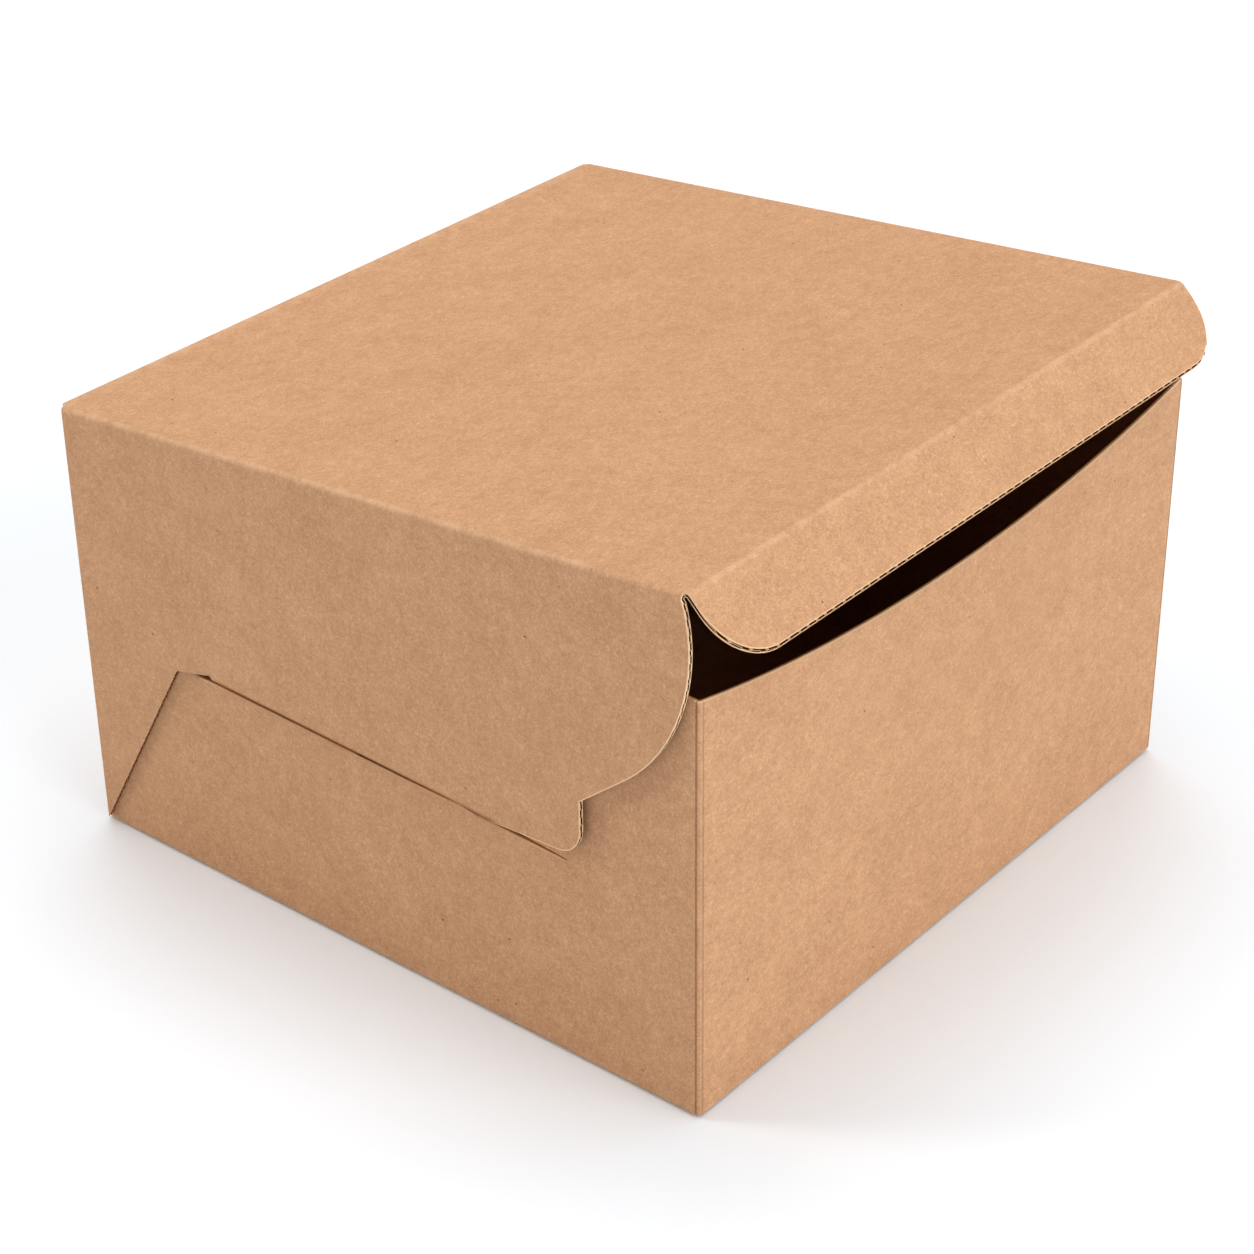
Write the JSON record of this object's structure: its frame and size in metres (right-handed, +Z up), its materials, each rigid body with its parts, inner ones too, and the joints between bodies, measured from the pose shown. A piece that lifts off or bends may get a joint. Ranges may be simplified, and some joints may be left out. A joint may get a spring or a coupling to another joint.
{
  "type": "cake box",
  "caption": "Square kraft card cake box folded from one sheet: dished front wall, lid a little open with a half-open front flap and side ears locked in slits.",
  "frame": {"origin": "middle of the tray's underside, on the surface it stands on", "axes": "+Z up, -Y towards the dished front wall and the front flap, the lid's fold is at +Y, the left ear is at -X"},
  "size_m": [0.2536, 0.2635, 0.1729],
  "materials": {
    "kraft_card": "uncoated brown kraft liner, fine fibres and specks"
  },
  "bodies": {
    "box": {"tray_and_lid": "kraft_card"},
    "front_flap": {"front_flap": "kraft_card"},
    "left_ear": {"left_ear": "kraft_card", "left_ear_tongue": "kraft_card"},
    "right_ear": {"right_ear": "kraft_card", "right_ear_tongue": "kraft_card"}
  },
  "joints": [
    {"name": "front_flap_fold", "type": "hinge", "parent": "box", "child": "front_flap", "pos_m": [0, -0.12081, 0.17219], "axis": [1, 0, 0], "range_deg": [-49.6, 40.4]},
    {"name": "left_ear_fold", "type": "hinge", "parent": "box", "child": "left_ear", "pos_m": [-0.12605, 0, 0.16239], "axis": [0, 0.9967, -0.0809], "range_deg": [0, 90], "deforming": ["left_ear_tongue"]},
    {"name": "right_ear_fold", "type": "hinge", "parent": "box", "child": "right_ear", "pos_m": [0.12605, 0, 0.16239], "axis": [0, -0.9967, 0.0809], "range_deg": [0, 90], "deforming": ["right_ear_tongue"]}
  ]
}
